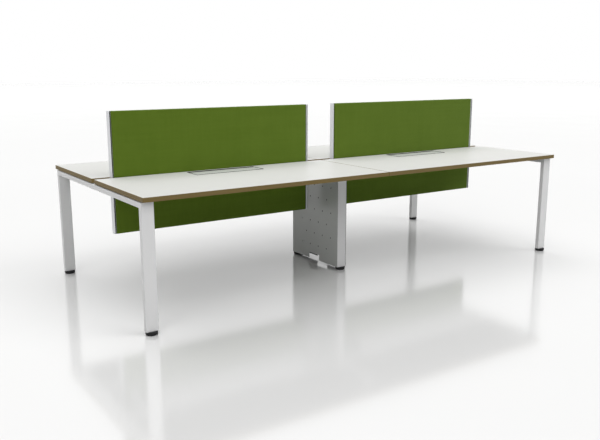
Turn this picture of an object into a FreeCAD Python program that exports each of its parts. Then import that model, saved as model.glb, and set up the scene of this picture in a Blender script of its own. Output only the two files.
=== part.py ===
import FreeCAD, Part
import os
import Sketcher

# Double-sided bench desk for four people: four worktops in two bays, on two goal-post end
# frames and one centre leg, with a fabric screen in the gap between the front and rear worktops.
# Millimetres. X runs along the desk, -Y is the front, Z is up from the floor under the middle.

doc = FreeCAD.newDocument("bench_desk")
sheet = doc.addObject("Spreadsheet::Sheet", "dims")

DIMENSIONS = (
    ("worktop_length", 1600, "length of one worktop"),
    ("worktop_depth", 720, "depth of one worktop"),
    ("worktop_thickness", 25, "thickness of a worktop"),
    ("desk_height", 730, "floor to the top of the worktops"),
    ("joint_gap", 2, "gap between left and right worktops"),
    ("band_thickness", 2, "thickness of the edge band"),
    ("band_corner", 3, "outer corner radius of the edge band"),
    ("shadow_gap", 5, "frame to worktop, the thickness of a worktop bracket"),
    ("tube_width", 70, "wide side of the frame tube"),
    ("tube_depth", 30, "narrow side of the frame tube"),
    ("tube_wall", 2, "wall of the frame tube"),
    ("tube_corner", 3, "corner radius of the frame tube"),
    ("leg_inset", 31, "worktop edge to the outer face of a leg"),
    ("insert_height", 25, "height of the threaded insert in a leg"),
    ("centre_margin", 6, "face of a centre upright beyond the beams' end plates"),
    ("side_sheet", 2, "sheet thickness of the centre leg's side panels"),
    ("side_gap", 5, "side panels to the beams above them"),
    ("hole_size", 11, "diameter of the holes in the side panels"),
    ("hole_margin", 79, "front edge of a side panel to the first hole of a stepped row"),
    ("row_margin_low", 104, "lower edge of a side panel to its first row of holes"),
    ("row_margin_high", 107, "upper edge of a side panel to its last row of holes"),
    ("holes_in_row", 4, "number of holes in a row"),
    ("row_pairs", 3, "number of centred rows, with a stepped row above each"),
    ("notch_length", 118, "length of the cable notch in a side panel"),
    ("notch_height", 40, "height of the cable notch"),
    ("arm_setback", 102, "worktop edge to the tip of a cantilever arm"),
    ("arm_width", 40, "width of a cantilever arm"),
    ("arm_root", 62, "height of an arm at the centre leg"),
    ("arm_tip", 12, "height of an arm at its tip"),
    ("arm_sheet", 2.5, "sheet thickness of an arm"),
    ("arm_plate", 6, "thickness of an arm's root plate"),
    ("beam_clearance", 8, "flap cut-out to the longitudinal beam in front of it"),
    ("beam_width", 50, "width of a longitudinal beam"),
    ("beam_height", 30, "height of a longitudinal beam"),
    ("end_plate", 5, "thickness of a beam's end plates"),
    ("end_plate_margin", 15, "end plate beside the beam"),
    ("bracket_length", 100, "length of a worktop bracket"),
    ("bracket_width", 40, "width of a worktop bracket"),
    ("bracket_near", 130, "spine to the inner bracket on an end beam"),
    ("bracket_setback", 142, "worktop edge to the outer brackets"),
    ("arm_bracket_offset", 59, "centre leg to the inner bracket on an arm"),
    ("beam_bracket_reach", 400, "middle of a bay to the brackets on a beam"),
    ("cutout_length", 466, "length of the flap cut-out in a worktop"),
    ("cutout_depth", 138, "depth of the flap cut-out"),
    ("cutout_margin", 32, "worktop's rear edge to the cut-out"),
    ("flap_frame_fit", 0.2, "play between a flap frame and its cut-out"),
    ("flap_frame_wall", 2, "wall of a flap frame"),
    ("flap_frame_height", 45, "height of a flap frame below the top of the worktop"),
    ("flap_frame_rise", 2, "rim of a flap frame above the worktop"),
    ("flap_ledge_length", 10, "ledge under a flap's corner, along the desk"),
    ("flap_ledge_depth", 20, "ledge under a flap's corner, across the desk"),
    ("flap_ledge_sheet", 3, "thickness of that ledge"),
    ("flap_end_gap", 1, "play at each end of a flap"),
    ("flap_turn_clearance", 0.7, "flap frame to the hinge edge of a flap as it turns"),
    ("cable_slot", 18, "open slot behind a flap"),
    ("flap_plate", 3, "thickness of a flap's top plate"),
    ("flap_lip", 10, "height of a flap's lips"),
    ("flap_hinge_lip", 12, "thickness of the lip that the hinge rod runs through"),
    ("flap_nose_lip", 8, "thickness of the lip at the slot"),
    ("flap_nose_radius", 2.5, "rounding of the lip at the slot"),
    ("pin_size", 4, "diameter of a hinge rod"),
    ("pin_clearance", 0.1, "running play of a hinge rod, on the radius"),
    ("tray_end_clearance", 50, "end of a cable tray to the screen bracket beside it"),
    ("tray_sheet", 1.5, "sheet thickness of a cable tray"),
    ("tray_drop", 88, "frame top to the underside of a tray"),
    ("tray_flange_drop", 5, "frame top to the tray's hanging flange"),
    ("tray_lip", 40, "height of a tray's free lip"),
    ("tray_screen_gap", 30, "screen to the tray's free lip"),
    ("tray_slots", 9, "number of cable-tie slots in a tray"),
    ("tray_slot_margin", 90, "end of a tray to the middle of its first slot"),
    ("tray_slot_length", 40, "length of a cable-tie slot"),
    ("tray_slot_width", 8, "width of a cable-tie slot"),
    ("screen_margin", 107, "end of a worktop to the end of its screen"),
    ("screen_height", 720, "height of a screen"),
    ("screen_rise", 384, "worktop to the top of a screen"),
    ("screen_thickness", 40, "thickness of a screen over its end profiles"),
    ("screen_play", 2, "screen to the worktops on both sides"),
    ("profile_width", 15, "end profile along the screen"),
    ("profile_wall", 2, "wall of an end profile"),
    ("profile_corner", 1.5, "corner radius of an end profile"),
    ("screen_bracket_inset", 73, "end of a screen to the middle of a screen bracket"),
    ("screen_bracket_width", 40, "width of a screen bracket"),
    ("screen_bracket_sheet", 4, "sheet thickness of a screen bracket"),
    ("screen_bracket_drop", 70, "height of a screen bracket's upright"),
    ("foot_size", 66, "diameter of a foot"),
    ("foot_toe", 5, "chamfer of a foot's lower edge"),
    ("foot_rim", 14.7, "height of a foot's rim"),
    ("foot_play", 0.3, "foot to leg when screwed right in"),
    ("stud_size", 10, "diameter of a foot's stud"),
    ("stud_length", 54, "length of the stud above its pad"),
    ("stud_clearance", 0.1, "play of a stud in its insert, on the radius"),
)
for row, (alias, number, meaning) in enumerate(DIMENSIONS, 1):
    sheet.set(f"A{row}", meaning)
    sheet.set(f"B{row}", str(number))
    sheet.setAlias(f"B{row}", alias)
doc.recompute()

# Places that several pieces share, worked out from the sheet
UNDERSIDE = "(dims.desk_height - dims.worktop_thickness)"
FRAME_TOP = f"({UNDERSIDE} - dims.shadow_gap)"
BAY_X = "((dims.worktop_length + dims.joint_gap) / 2)"
HALF_LENGTH = "(dims.worktop_length + dims.joint_gap / 2)"
REAR_EDGE = "(dims.screen_thickness / 2 + dims.screen_play)"
FRONT_EDGE = f"({REAR_EDGE} + dims.worktop_depth)"
FRAME_HALF = f"({FRONT_EDGE} - dims.leg_inset)"
END_X = f"({HALF_LENGTH} - dims.tube_width / 2)"
END_INNER = f"({HALF_LENGTH} - dims.tube_width)"
FOOT_TOP = "(dims.foot_toe + dims.foot_rim)"
LEG_BOTTOM = f"({FOOT_TOP} + dims.foot_play)"
CUTOUT_REAR = f"({REAR_EDGE} + dims.cutout_margin)"
CUTOUT_FRONT = f"({CUTOUT_REAR} + dims.cutout_depth)"
BEAM_INNER = f"({CUTOUT_FRONT} + dims.beam_clearance)"
BEAM_OUTER = f"({BEAM_INNER} + dims.beam_width)"
BEAM_BOTTOM = f"({FRAME_TOP} - dims.beam_height)"
CENTRE_HALF = f"({BEAM_OUTER} + dims.end_plate_margin + dims.centre_margin)"
SIDE_HEIGHT = f"({BEAM_BOTTOM} - dims.side_gap - {LEG_BOTTOM})"
ARM_TIP = f"({FRONT_EDGE} - dims.arm_setback)"
BRACKET_FAR = f"({FRONT_EDGE} - dims.bracket_setback)"
SLOT_REAR = f"({CUTOUT_REAR} + dims.flap_frame_fit + dims.flap_frame_wall)"
FLAP_REAR = f"({SLOT_REAR} + dims.cable_slot)"
FLAP_FRAME_FRONT = f"({CUTOUT_FRONT} - dims.flap_frame_fit)"
HINGE_REACH = "sqrt((dims.flap_hinge_lip / 2) ^ 2 + (dims.flap_lip / 2) ^ 2)"
HINGE_GAP = f"({HINGE_REACH} - dims.flap_hinge_lip / 2 + dims.flap_turn_clearance)"
FLAP_FRONT = f"({FLAP_FRAME_FRONT} - dims.flap_frame_wall - {HINGE_GAP})"
FLAP_FRAME_HALF = "(dims.cutout_length / 2 - dims.flap_frame_fit)"
FLAP_HALF = f"({FLAP_FRAME_HALF} - dims.flap_frame_wall - dims.flap_end_gap)"
FLAP_BOTTOM = "(dims.desk_height - dims.flap_lip)"
PIN_Y = f"({FLAP_FRONT} - dims.flap_hinge_lip / 2)"
PIN_Z = "(dims.desk_height - dims.flap_lip / 2)"
PIN_BORE = "(dims.pin_size / 2 + dims.pin_clearance)"
SCREEN_HALF = "(dims.worktop_length / 2 - dims.screen_margin)"
SCREEN_BOTTOM = "(dims.desk_height + dims.screen_rise - dims.screen_height)"
SCREEN_FACE = "(dims.screen_thickness / 2 - dims.profile_wall)"
SCREEN_BRACKET_X = f"({SCREEN_HALF} - dims.screen_bracket_inset)"
TRAY_HALF = f"({SCREEN_BRACKET_X} - dims.screen_bracket_width / 2 - dims.tray_end_clearance)"
TRAY_LIP_Y = "(dims.screen_thickness / 2 + dims.tray_screen_gap)"

# A rear piece is its front piece turned half round about the upright axis of its bay
QUARTERS = (
    ("front_left", "-", 0),
    ("front_right", "", 0),
    ("rear_left", "-", 180),
    ("rear_right", "", 180),
)
PANEL_HOLE_SIDES = 10
BORE_SIDES = 12
FOOT_SIDES = 36
NEAR = 0.01
X_AXIS = FreeCAD.Vector(1, 0, 0)
Y_AXIS = FreeCAD.Vector(0, 1, 0)
Z_AXIS = FreeCAD.Vector(0, 0, 1)

pieces = []


def value(expression):
    """The present number of an expression."""
    return float(sheet.evalExpression(expression))


def place(item, x="0", y="0", z="0", turned=0):
    """Stand an object at x, y, z, turned about the upright axis."""
    item.Placement = FreeCAD.Placement(FreeCAD.Vector(), FreeCAD.Rotation(Z_AXIS, turned))
    for axis, expression in (("x", x), ("y", y), ("z", z)):
        item.setExpression(f"Placement.Base.{axis}", expression)
    return item


def new_body(label):
    body = doc.addObject("PartDesign::Body", label)
    body.Label = label
    return body


def new_sketch(body, name, role, offset=None):
    """An empty sketch on one of the body's own origin planes, moved along its normal by offset."""
    plane = next(item for item in body.Origin.OriginFeatures if item.Role == role)
    sketch = body.newObject("Sketcher::SketchObject", f"{body.Name}_{name}")
    sketch.AttachmentSupport = [(plane, "")]
    sketch.MapMode = "FlatFace"
    if offset is not None:
        sketch.setExpression("AttachmentOffset.Base.z", offset)
    return sketch


def hold(sketch, kind, geometry, point, expression):
    """Hold one coordinate of a point to an expression."""
    number = value(expression)
    index = sketch.addConstraint(Sketcher.Constraint(kind, geometry, point, number))
    sketch.setExpression(f"Constraints[{index}]", expression)


def add_loop(sketch, corners):
    """A closed loop of straight edges, each corner held by its two coordinates."""
    points = [FreeCAD.Vector(value(x), value(y), 0) for x, y in corners]
    count = len(points)
    first = sketch.GeometryCount
    for index in range(count):
        sketch.addGeometry(Part.LineSegment(points[index], points[(index + 1) % count]))
    for index in range(count):
        following = first + (index + 1) % count
        sketch.addConstraint(Sketcher.Constraint("Coincident", first + index, 2, following, 1))
    for index, (x, y) in enumerate(corners):
        hold(sketch, "DistanceX", first + index, 1, x)
        hold(sketch, "DistanceY", first + index, 1, y)


def add_round(sketch, x, y, radius, sides):
    """A round outline in flat sides, which touch the circle of that radius from outside."""
    half_turn = 180 / sides
    corner = f"({radius}) / cos({half_turn} deg)"
    turns = [f"{(2 * index + 1) * half_turn} deg" for index in range(sides)]
    add_loop(sketch, [(f"{x} + {corner} * cos({turn})", f"{y} + {corner} * sin({turn})")
                      for turn in turns])


def rectangle(x0, y0, x1, y1):
    return ((x0, y0), (x1, y0), (x1, y1), (x0, y1))


def outline(body, name, role, corners, offset=None):
    sketch = new_sketch(body, name, role, offset)
    add_loop(sketch, corners)
    return sketch


def pad(body, sketch, length, symmetric=False, backwards=False):
    """Material from an outline, over a length."""
    feature = body.newObject("PartDesign::Pad", f"{sketch.Name}_pad")
    feature.Profile = sketch
    feature.SideType = "Symmetric" if symmetric else "One side"
    feature.Reversed = backwards
    feature.setExpression("Length", length)
    return feature


def pocket(body, sketch, width=None):
    """A cut from an outline, right through the body or over a width about the outline's plane."""
    doc.recompute()
    before = body.Shape.Volume
    feature = body.newObject("PartDesign::Pocket", f"{sketch.Name}_cut")
    feature.Profile = sketch
    feature.SideType = "Symmetric"
    if width is None:
        feature.Type = "ThroughAll"
    else:
        feature.setExpression("Length", width)
    doc.recompute()
    if not body.Shape.Volume < before:
        raise RuntimeError(f"{sketch.Name} cuts nothing")
    return feature


def round_edges(body, radius, along, wanted=lambda point: True):
    """Round the straight edges of the body that run along an axis, where wanted."""
    doc.recompute()
    tip = body.Tip
    names = []
    for index, edge in enumerate(tip.Shape.Edges, 1):
        run = edge.Vertexes[-1].Point - edge.Vertexes[0].Point
        straight = edge.Curve.TypeId == "Part::GeomLine"
        if straight and abs(run.dot(along)) > 0.999 * run.Length and wanted(edge.CenterOfMass):
            names.append(f"Edge{index}")
    feature = body.newObject("PartDesign::Fillet", f"{body.Name}_rounding{len(body.Group)}")
    feature.Base = (tip, names)
    feature.setExpression("Radius", radius)
    return feature


def repeat(body, feature, *runs):
    """Copies of a feature: each run is one of the body's own axes, a count and a length."""
    rows = body.newObject("PartDesign::LinearPattern", f"{feature.Name}_row")
    rows.Originals = [feature]
    for suffix, (role, count, length) in zip(("", "2"), runs):
        axis = next(item for item in body.Origin.OriginFeatures if item.Role == role)
        setattr(rows, f"Direction{suffix}", (axis, [""]))
        rows.setExpression(f"Occurrences{suffix}", count)
        rows.setExpression(f"Length{suffix}", length)
    body.Tip = rows
    doc.recompute()


def keep(item, label):
    """Hand a finished object in under its label."""
    item.Label = label
    pieces.append(item)


def box(name, x, y, z, length, width, height):
    """A block with its lowest corner at x, y, z."""
    block = place(doc.addObject("Part::Box", name), x, y, z)
    for side, expression in (("Length", length), ("Width", width), ("Height", height)):
        block.setExpression(side, expression)
    return block


def group(label, items):
    """Like pieces that share one name, each still a solid of its own."""
    compound = doc.addObject("Part::Compound", label)
    compound.Links = items
    keep(compound, label)


# Frames: rectangular steel tube, mitred at the upper corners and welded

def leg(label, half_span, x, turned):
    """Upright tube at the front of a frame, its upper end cut at 45 degrees towards the back."""
    body = new_body(label)
    height = f"({FRAME_TOP} - {LEG_BOTTOM})"
    front = f"-{half_span}"
    back = f"(dims.tube_depth - {half_span})"
    section = rectangle("-dims.tube_width / 2", front, "dims.tube_width / 2", back)
    pad(body, outline(body, "section", "XY_Plane", section), height)
    round_edges(body, "dims.tube_corner", Z_AXIS)
    hollow = rectangle("dims.tube_wall - dims.tube_width / 2", f"{front} + dims.tube_wall",
                       "dims.tube_width / 2 - dims.tube_wall", f"{back} - dims.tube_wall")
    pocket(body, outline(body, "hollow", "XY_Plane", hollow))
    mitre = ((front, height), (back, height), (back, f"{height} - dims.tube_depth"))
    pocket(body, outline(body, "mitre", "YZ_Plane", mitre))
    place(body, x, z=LEG_BOTTOM, turned=turned)
    keep(body, label)


def cross_beam(label, half_span, x):
    """Level tube over two legs, both ends cut at 45 degrees to meet them."""
    body = new_body(label)
    bottom = f"({FRAME_TOP} - dims.tube_depth)"
    section = rectangle("-dims.tube_width / 2", bottom, "dims.tube_width / 2", FRAME_TOP)
    pad(body, outline(body, "section", "XZ_Plane", section), f"2 * {half_span}", symmetric=True)
    round_edges(body, "dims.tube_corner", Y_AXIS)
    hollow = rectangle("dims.tube_wall - dims.tube_width / 2", f"{bottom} + dims.tube_wall",
                       "dims.tube_width / 2 - dims.tube_wall", f"{FRAME_TOP} - dims.tube_wall")
    pocket(body, outline(body, "hollow", "XZ_Plane", hollow))
    mitres = new_sketch(body, "mitres", "YZ_Plane")
    for sign in ("-", ""):
        end = f"{sign}{half_span}"
        inner = f"{sign}({half_span} - dims.tube_depth)"
        add_loop(mitres, ((end, FRAME_TOP), (end, bottom), (inner, bottom)))
    pocket(body, mitres)
    place(body, x)
    keep(body, label)


for quarter, side, turned in QUARTERS:
    leg(f"leg_{quarter}", FRAME_HALF, f"{side}{END_X}", turned)
for side_name, side in (("left", "-"), ("right", "")):
    cross_beam(f"end_beam_{side_name}", FRAME_HALF, f"{side}{END_X}")
for place_name, turned in (("front", 0), ("rear", 180)):
    leg(f"centre_upright_{place_name}", CENTRE_HALF, "0", turned)
cross_beam("centre_head_rail", CENTRE_HALF, "0")


# Centre leg: perforated side panels with a cable notch, and the arms under the worktop joint

def side_panel(label, x):
    """Steel sheet on the uprights. Centred rows of holes alternate with rows half a pitch to the front."""
    body = new_body(label)
    sheet_outline = rectangle(f"-{CENTRE_HALF}", "0", CENTRE_HALF, SIDE_HEIGHT)
    pad(body, outline(body, "sheet", "YZ_Plane", sheet_outline), "dims.side_sheet")
    notch = rectangle("-dims.notch_length / 2", "0", "dims.notch_length / 2", "dims.notch_height")
    pocket(body, outline(body, "notch", "YZ_Plane", notch))
    hole_pitch = f"(2 * ({CENTRE_HALF} - dims.hole_margin) / dims.holes_in_row)"
    run = f"({hole_pitch} * (dims.holes_in_row - 1))"
    row_space = f"({SIDE_HEIGHT} - dims.row_margin_low - dims.row_margin_high)"
    row_pitch = f"({row_space} / (2 * dims.row_pairs - 1))"
    for row_name, step in (("centred_row", 0), ("stepped_row", 1)):
        hole = new_sketch(body, row_name, "YZ_Plane")
        add_round(hole, f"-({run} + {step} * {hole_pitch}) / 2",
                  f"dims.row_margin_low + {step} * {row_pitch}", "dims.hole_size / 2",
                  PANEL_HOLE_SIDES)
        repeat(body, pocket(body, hole), ("Y_Axis", "dims.holes_in_row", run),
               ("Z_Axis", "dims.row_pairs", f"2 * {row_pitch} * (dims.row_pairs - 1)"))
    place(body, x, z=LEG_BOTTOM)
    keep(body, label)


def cantilever_arm(label, turned):
    """Folded channel, open below, that tapers from a root plate on the upright to its tip."""
    body = new_body(label)
    root = f"-{CENTRE_HALF}"
    tip = f"-{ARM_TIP}"
    side = ((root, FRAME_TOP), (tip, FRAME_TOP), (tip, f"{FRAME_TOP} - dims.arm_tip"),
            (root, f"{FRAME_TOP} - dims.arm_root"))
    pad(body, outline(body, "side", "YZ_Plane", side), "dims.arm_width", symmetric=True)
    ceiling = f"{FRAME_TOP} - dims.arm_sheet"
    inner_root = f"{root} - dims.arm_plate"
    inner_tip = f"{tip} + dims.arm_sheet"
    below = f"{FRAME_TOP} - dims.arm_root"
    channel = ((inner_root, ceiling), (inner_tip, ceiling), (inner_tip, below), (inner_root, below))
    pocket(body, outline(body, "channel", "YZ_Plane", channel),
           "dims.arm_width - 2 * dims.arm_sheet")
    place(body, turned=turned)
    keep(body, label)


side_panel("centre_panel_right", "dims.tube_width / 2")
side_panel("centre_panel_left", "-(dims.tube_width / 2 + dims.side_sheet)")
cantilever_arm("centre_arm_front", 0)
cantilever_arm("centre_arm_rear", 180)


# Longitudinal beams: rectangular tube with a welded plate at each end

def long_beam(label, x, turned):
    body = new_body(label)
    length = f"({END_INNER} - dims.tube_width / 2)"
    section = rectangle(f"-{BEAM_OUTER}", BEAM_BOTTOM, f"-{BEAM_INNER}", FRAME_TOP)
    tube = outline(body, "section", "YZ_Plane", section)
    pad(body, tube, f"{length} - 2 * dims.end_plate", symmetric=True)
    round_edges(body, "dims.tube_corner", X_AXIS)
    hollow = rectangle(f"dims.tube_wall - {BEAM_OUTER}", f"{BEAM_BOTTOM} + dims.tube_wall",
                       f"-({BEAM_INNER} + dims.tube_wall)", f"{FRAME_TOP} - dims.tube_wall")
    pocket(body, outline(body, "hollow", "YZ_Plane", hollow))
    plate = rectangle(f"-({BEAM_OUTER} + dims.end_plate_margin)", BEAM_BOTTOM,
                      f"dims.end_plate_margin - {BEAM_INNER}", FRAME_TOP)
    for end, sign, backwards in (("far", "", False), ("near", "-", True)):
        offset = f"{sign}({length} / 2 - dims.end_plate)"
        pad(body, outline(body, f"{end}_plate", "YZ_Plane", plate, offset), "dims.end_plate",
            backwards=backwards)
    place(body, x, turned=turned)
    keep(body, label)


for quarter, side, turned in QUARTERS:
    long_beam(f"long_beam_{quarter}", f"{side}({END_INNER} + dims.tube_width / 2) / 2", turned)


# Cable trays: sheet folded to a J, hung on the inner face of a beam

def cable_tray(label, x, turned):
    body = new_body(label)
    hang = f"-{BEAM_INNER}"
    hang_inside = f"dims.tray_sheet - {BEAM_INNER}"
    lip = f"-{TRAY_LIP_Y}"
    lip_inside = f"-({TRAY_LIP_Y} + dims.tray_sheet)"
    floor = f"({FRAME_TOP} - dims.tray_drop)"
    floor_inside = f"{floor} + dims.tray_sheet"
    flange_top = f"{FRAME_TOP} - dims.tray_flange_drop"
    lip_top = f"{floor} + dims.tray_lip"
    fold = ((hang, flange_top), (hang, floor), (lip, floor), (lip, lip_top), (lip_inside, lip_top),
            (lip_inside, floor_inside), (hang_inside, floor_inside), (hang_inside, flange_top))
    pad(body, outline(body, "fold", "YZ_Plane", fold), f"2 * {TRAY_HALF}", symmetric=True)
    middle = f"-({BEAM_INNER} + {TRAY_LIP_Y}) / 2"
    first = f"(dims.tray_slot_margin - {TRAY_HALF})"
    slot = rectangle(f"{first} - dims.tray_slot_length / 2", f"{middle} - dims.tray_slot_width / 2",
                     f"{first} + dims.tray_slot_length / 2", f"{middle} + dims.tray_slot_width / 2")
    first_slot = pocket(body, outline(body, "slot", "XY_Plane", slot))
    repeat(body, first_slot, ("X_Axis", "dims.tray_slots", f"-2 * {first}"))
    place(body, x, turned=turned)
    keep(body, label)


for quarter, side, turned in QUARTERS:
    cable_tray(f"cable_tray_{quarter}", f"{side}{BAY_X}", turned)


# Worktops: faced board inside an edge band, with a cut-out for the cable flap

BOARD_HALF = "(dims.worktop_length / 2 - dims.band_thickness)"
BOARD_REAR = f"({REAR_EDGE} + dims.band_thickness)"
BOARD_FRONT = f"({FRONT_EDGE} - dims.band_thickness)"


def worktop(label, x, turned):
    body = new_body(label)
    board = rectangle(f"-{BOARD_HALF}", f"-{BOARD_FRONT}", BOARD_HALF, f"-{BOARD_REAR}")
    pad(body, outline(body, "board", "XY_Plane", board), "dims.worktop_thickness")
    cutout = rectangle("-dims.cutout_length / 2", f"-{CUTOUT_FRONT}",
                       "dims.cutout_length / 2", f"-{CUTOUT_REAR}")
    pocket(body, outline(body, "cutout", "XY_Plane", cutout))
    place(body, x, z=UNDERSIDE, turned=turned)
    keep(body, label)


def edge_band(label, x, turned):
    body = new_body(label)
    outer = rectangle("-dims.worktop_length / 2", f"-{FRONT_EDGE}",
                      "dims.worktop_length / 2", f"-{REAR_EDGE}")
    pad(body, outline(body, "outer", "XY_Plane", outer), "dims.worktop_thickness")
    round_edges(body, "dims.band_corner", Z_AXIS)
    inner = rectangle(f"-{BOARD_HALF}", f"-{BOARD_FRONT}", BOARD_HALF, f"-{BOARD_REAR}")
    pocket(body, outline(body, "inner", "XY_Plane", inner))
    place(body, x, z=UNDERSIDE, turned=turned)
    keep(body, label)


for quarter, side, turned in QUARTERS:
    worktop(f"worktop_{quarter}", f"{side}{BAY_X}", turned)
    edge_band(f"edge_band_{quarter}", f"{side}{BAY_X}", turned)


# Worktop brackets: flat plates on the frame, which hold the worktops clear of it

def worktop_bracket(x, y, along_x):
    """A plate centred on x, y, lying along or across the desk."""
    length, width = "dims.bracket_length", "dims.bracket_width"
    if not along_x:
        length, width = width, length
    brackets.append(box("worktop_bracket", f"{x} - {length} / 2", f"{y} - {width} / 2", FRAME_TOP,
                        length, width, "dims.shadow_gap"))


brackets = []
for fore in ("-", ""):
    for side in ("-", ""):
        for spot in ("dims.bracket_near", BRACKET_FAR):
            worktop_bracket(f"{side}{END_INNER}", f"{fore}{spot}", True)
        for sign in ("-", "+"):
            bracket_x = f"{side}({BAY_X} {sign} dims.beam_bracket_reach)"
            worktop_bracket(bracket_x, f"{fore}{BEAM_OUTER}", False)
    for spot in (f"({CENTRE_HALF} + dims.arm_bracket_offset)", BRACKET_FAR):
        worktop_bracket("0", f"{fore}{spot}", True)
group("worktop_brackets", brackets)


# Cable flaps: an extruded lid on a hinge rod, closing on a moulded frame set into the worktop

def flap_frame(label, x, turned):
    """Frame whose rim stands a little above the worktop, with ledges under the free corners of the lid."""
    body = new_body(label)
    bottom = "(dims.desk_height - dims.flap_frame_height)"
    rear = f"({SLOT_REAR} - dims.flap_frame_wall)"
    outer = rectangle(f"-{FLAP_FRAME_HALF}", f"-{FLAP_FRAME_FRONT}", FLAP_FRAME_HALF, f"-{rear}")
    pad(body, outline(body, "outer", "XY_Plane", outer), "dims.flap_frame_height + dims.flap_frame_rise")
    inner_half = f"({FLAP_FRAME_HALF} - dims.flap_frame_wall)"
    inner = rectangle(f"-{inner_half}", f"dims.flap_frame_wall - {FLAP_FRAME_FRONT}",
                      inner_half, f"-{SLOT_REAR}")
    pocket(body, outline(body, "inner", "XY_Plane", inner))
    ledges = new_sketch(body, "ledges", "XY_Plane", f"{FLAP_BOTTOM} - {bottom}")
    for sign in ("-", ""):
        add_loop(ledges, rectangle(f"{sign}{inner_half}", f"-({FLAP_REAR} + dims.flap_ledge_depth)",
                                   f"{sign}({inner_half} - dims.flap_ledge_length)",
                                   f"-{FLAP_REAR}"))
    pad(body, ledges, "dims.flap_ledge_sheet", backwards=True)
    pins = new_sketch(body, "pin_holes", "YZ_Plane")
    add_round(pins, f"-{PIN_Y}", f"{PIN_Z} - {bottom}", PIN_BORE, BORE_SIDES)
    pocket(body, pins)
    place(body, x, z=bottom, turned=turned)
    keep(body, label)


def cable_flap(label, x, turned):
    """Extruded lid: a plate with a thick hinge lip in front and a rounded lip at the slot."""
    body = new_body(label)
    top = "dims.desk_height"
    soffit = "(dims.desk_height - dims.flap_plate)"
    hinge = f"-({FLAP_FRONT} - dims.flap_hinge_lip)"
    nose = f"-({FLAP_REAR} + dims.flap_nose_lip)"
    profile = new_sketch(body, "profile", "YZ_Plane")
    add_loop(profile, ((f"-{FLAP_FRONT}", top), (f"-{FLAP_FRONT}", FLAP_BOTTOM),
                       (hinge, FLAP_BOTTOM), (hinge, soffit), (nose, soffit), (nose, FLAP_BOTTOM),
                       (f"-{FLAP_REAR}", FLAP_BOTTOM), (f"-{FLAP_REAR}", top)))
    add_round(profile, f"-{PIN_Y}", PIN_Z, PIN_BORE, BORE_SIDES)
    pad(body, profile, f"2 * {FLAP_HALF}", symmetric=True)
    rear = -value(FLAP_REAR)
    round_edges(body, "dims.flap_nose_radius", X_AXIS, lambda point: abs(point.y - rear) < NEAR)
    place(body, x, turned=turned)
    keep(body, label)


hinge_rods = []
for quarter, side, turned in QUARTERS:
    flap_frame(f"flap_frame_{quarter}", f"{side}{BAY_X}", turned)
    cable_flap(f"cable_flap_{quarter}", f"{side}{BAY_X}", turned)
    fore = "-" if turned == 0 else ""
    hinge_rod = doc.addObject("Part::Cylinder", f"hinge_rod_{quarter}")
    hinge_rod.setExpression("Radius", "dims.pin_size / 2")
    hinge_rod.setExpression("Height", f"2 * {FLAP_FRAME_HALF}")
    place(hinge_rod, f"{side}{BAY_X} - {FLAP_FRAME_HALF}", f"{fore}{PIN_Y}", PIN_Z)
    hinge_rod.Placement.Rotation = FreeCAD.Rotation(Y_AXIS, 90)
    hinge_rods.append(hinge_rod)
group("flap_hinge_rods", hinge_rods)


# Screens: a fabric-covered panel between two channel profiles, hung in the gap on brackets

def screen_profile(label, x, turned):
    """Extruded channel whose open side takes the end of the panel."""
    body = new_body(label)
    half = "dims.screen_thickness / 2"
    channel = (("0", f"-{half}"), ("dims.profile_width", f"-{half}"),
               ("dims.profile_width", f"-{SCREEN_FACE}"), ("dims.profile_wall", f"-{SCREEN_FACE}"),
               ("dims.profile_wall", SCREEN_FACE), ("dims.profile_width", SCREEN_FACE),
               ("dims.profile_width", half), ("0", half))
    pad(body, outline(body, "channel", "XY_Plane", channel), "dims.screen_height")
    round_edges(body, "dims.profile_corner", Z_AXIS, lambda point: point.x < NEAR)
    place(body, x, z=SCREEN_BOTTOM, turned=turned)
    keep(body, label)


def screen_panel(label, x):
    body = new_body(label)
    half = f"({SCREEN_HALF} - dims.profile_wall)"
    section = rectangle(f"-{SCREEN_FACE}", "0", SCREEN_FACE, "dims.screen_height")
    pad(body, outline(body, "section", "YZ_Plane", section), f"2 * {half}", symmetric=True)
    place(body, x, z=SCREEN_BOTTOM)
    keep(body, label)


def screen_bracket(name, x, turned):
    """Folded strip from under a beam to the face of the screen."""
    body = new_body(name)
    beam = f"-{BEAM_OUTER}"
    face = f"-{SCREEN_FACE}"
    under = f"{BEAM_BOTTOM} - dims.screen_bracket_sheet"
    foot = f"{under} - dims.screen_bracket_drop"
    behind = f"{face} - dims.screen_bracket_sheet"
    fold = ((beam, BEAM_BOTTOM), (face, BEAM_BOTTOM), (face, foot), (behind, foot),
            (behind, under), (beam, under))
    pad(body, outline(body, "fold", "YZ_Plane", fold), "dims.screen_bracket_width", symmetric=True)
    return place(body, x, turned=turned)


for side_name, side in (("left", "-"), ("right", "")):
    screen_panel(f"screen_panel_{side_name}", f"{side}{BAY_X}")
    ends = (("outer", "inner") if side else ("inner", "outer"))
    for end, sign, turned in ((ends[0], "-", 0), (ends[1], "+", 180)):
        screen_profile(f"screen_profile_{side_name}_{end}",
                       f"{side}{BAY_X} {sign} {SCREEN_HALF}", turned)
group("screen_brackets", [
    screen_bracket(f"screen_bracket_{quarter}_{end}",
                   f"{side}{BAY_X} {sign} {SCREEN_BRACKET_X}", turned)
    for quarter, side, turned in QUARTERS
    for end, sign in (("a", "-"), ("b", "+"))])


# Feet: a moulded pad on a threaded stud, screwed into an insert in the end of each leg

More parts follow.
